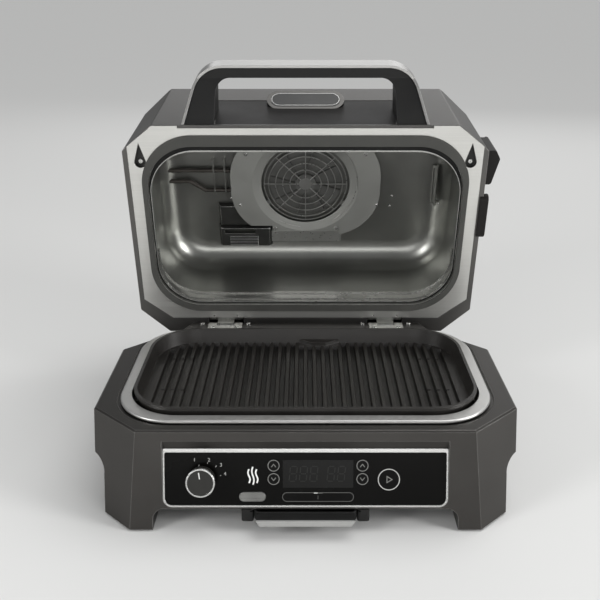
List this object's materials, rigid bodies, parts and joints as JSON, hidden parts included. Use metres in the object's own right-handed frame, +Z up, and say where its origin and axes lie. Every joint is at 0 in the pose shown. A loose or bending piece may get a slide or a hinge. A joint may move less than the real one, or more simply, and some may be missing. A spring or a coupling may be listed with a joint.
{
  "type": "electric outdoor grill",
  "caption": "Tabletop electric grill with a hinged faceted lid, ribbed plate, fan-heated lid cavity, sloping control fascia with dial and keys, grease tray and a smoke box.",
  "frame": {"origin": "on the ground at the middle of the whole as stored, lid open", "axes": "+X to the right, +Y to the back where the lid hinges, +Z up; the controls face -Y"},
  "size_m": [0.6502, 0.6333, 0.6251],
  "materials": {
    "base_grey": "satin, dark warm grey",
    "lid_grey": "satin, warm grey",
    "satin_ring": "satin",
    "silver_trim": "polished",
    "frame_steel": "satin",
    "liner_steel": "drawn, bright",
    "well_steel": "dull",
    "hinge_steel": "dull",
    "screw_steel": "bright",
    "motor_steel": "dull",
    "galvanised": "galvanised",
    "heater_steel": "dark oxide",
    "seal_rubber": "matt",
    "foot_rubber": "matt",
    "plate_black": "non-stick coating",
    "grip_black": "fine texture",
    "panel_black": "satin",
    "black_plastic": "matt",
    "key_black": "gloss",
    "fascia_black": "gloss",
    "display_glass": "tinted",
    "board_green": "matt",
    "dial_grey": "satin",
    "white_mark": "matt"
  },
  "bodies": {
    "base": {"base_housing": "base_grey", "base_floor": "galvanised", "rubber_feet": "foot_rubber", "cooking_well": "well_steel", "well_rim": "satin_ring", "well_supports": "well_steel", "base_heater": "heater_steel", "drain_spout": "well_steel", "tray_rails": "black_plastic", "control_bezel": "silver_trim", "control_panel": "fascia_black", "display_window": "display_glass", "display_module": "black_plastic", "control_board": "board_green", "key_switches": "black_plastic", "dial_encoder": "silver_trim", "power_board": "board_green", "base_hinge_leaves": "hinge_steel", "hinge_pins": "hinge_steel", "base_screws": "screw_steel", "rear_vent": "black_plastic", "cord_gland": "black_plastic"},
    "lid": {"lid_shell": "lid_grey", "lid_inset_panel": "panel_black", "badge_plate": "silver_trim", "handle_grip": "grip_black", "handle_strap": "lid_grey", "lid_frame": "frame_steel", "screw_cups": "frame_steel", "lid_seal": "seal_rubber", "lid_liner": "liner_steel", "fan_shroud": "liner_steel", "fan_guard": "liner_steel", "fan_motor": "motor_steel", "motor_bracket": "galvanised", "lid_heater": "heater_steel", "ceiling_brackets": "liner_steel", "louvre_plate": "liner_steel", "liner_lip": "liner_steel", "smoke_box": "panel_black", "pellet_cup": "well_steel", "igniter": "heater_steel", "probe_socket": "panel_black", "lid_hinge_leaves": "hinge_steel", "lid_screws": "screw_steel"},
    "plate": {"grill_plate": "plate_black"},
    "tray": {"grease_tray": "black_plastic", "tray_handle": "silver_trim"},
    "dial": {"dial_knob": "dial_grey", "dial_ring": "silver_trim", "dial_pointer": "white_mark"},
    "fan": {"fan_impeller": "well_steel"},
    "flap": {"smoke_flap": "panel_black"},
    "rocker": {"mode_rocker": "key_black"},
    "temp_up_key_body": {"temp_up_key": "key_black"},
    "temp_down_key_body": {"temp_down_key": "key_black"},
    "time_up_key_body": {"time_up_key": "key_black"},
    "time_down_key_body": {"time_down_key": "key_black"},
    "start_key_body": {"start_key": "key_black"},
    "smoke_key_body": {"smoke_key": "silver_trim"}
  },
  "joints": [
    {"name": "lid_hinge", "type": "hinge", "parent": "base", "child": "lid", "pos_m": [0, 0.1095, 0.1456], "axis": [-1, 0, 0], "range_deg": [-82, 0]},
    {"name": "plate_lift", "type": "slide", "parent": "base", "child": "plate", "axis": [0, 0, 1], "range_m": [0, 0.12]},
    {"name": "tray_slide", "type": "slide", "parent": "base", "child": "tray", "axis": [0, -1, 0], "range_m": [0, 0.15]},
    {"name": "dial_turn", "type": "hinge", "parent": "base", "child": "dial", "pos_m": [-0.1505, -0.28715, 0.07865], "axis": [0, -0.9563, 0.2924], "range_deg": [-120, 45]},
    {"name": "fan_spin", "type": "hinge", "parent": "lid", "child": "fan", "pos_m": [0, 0.25237, 0.38936], "axis": [0, 0.9659, 0.2588], "continuous": true},
    {"name": "flap_hinge", "type": "hinge", "parent": "lid", "child": "flap", "pos_m": [0.312, 0.15768, 0.46239], "axis": [0, -0.1392, 0.9903], "range_deg": [0, 95]},
    {"name": "rocker_tip", "type": "hinge", "parent": "base", "child": "rocker", "pos_m": [0.0182, -0.2868, 0.05073], "axis": [0, 0.2924, 0.9563], "range_deg": [-1.2, 1.2], "stiffness_Nm_per_rad": 0.5},
    {"name": "temp_up_key_press", "type": "slide", "parent": "base", "child": "temp_up_key_body", "axis": [0, 0.9563, -0.2924], "range_m": [0, 0.001], "stiffness_N_per_m": 400},
    {"name": "temp_down_key_press", "type": "slide", "parent": "base", "child": "temp_down_key_body", "axis": [0, 0.9563, -0.2924], "range_m": [0, 0.001], "stiffness_N_per_m": 400},
    {"name": "time_up_key_press", "type": "slide", "parent": "base", "child": "time_up_key_body", "axis": [0, 0.9563, -0.2924], "range_m": [0, 0.001], "stiffness_N_per_m": 400},
    {"name": "time_down_key_press", "type": "slide", "parent": "base", "child": "time_down_key_body", "axis": [0, 0.9563, -0.2924], "range_m": [0, 0.001], "stiffness_N_per_m": 400},
    {"name": "start_key_press", "type": "slide", "parent": "base", "child": "start_key_body", "axis": [0, 0.9563, -0.2924], "range_m": [0, 0.001], "stiffness_N_per_m": 400},
    {"name": "smoke_key_press", "type": "slide", "parent": "base", "child": "smoke_key_body", "axis": [0, 0.9563, -0.2924], "range_m": [0, 0.001], "stiffness_N_per_m": 400}
  ]
}
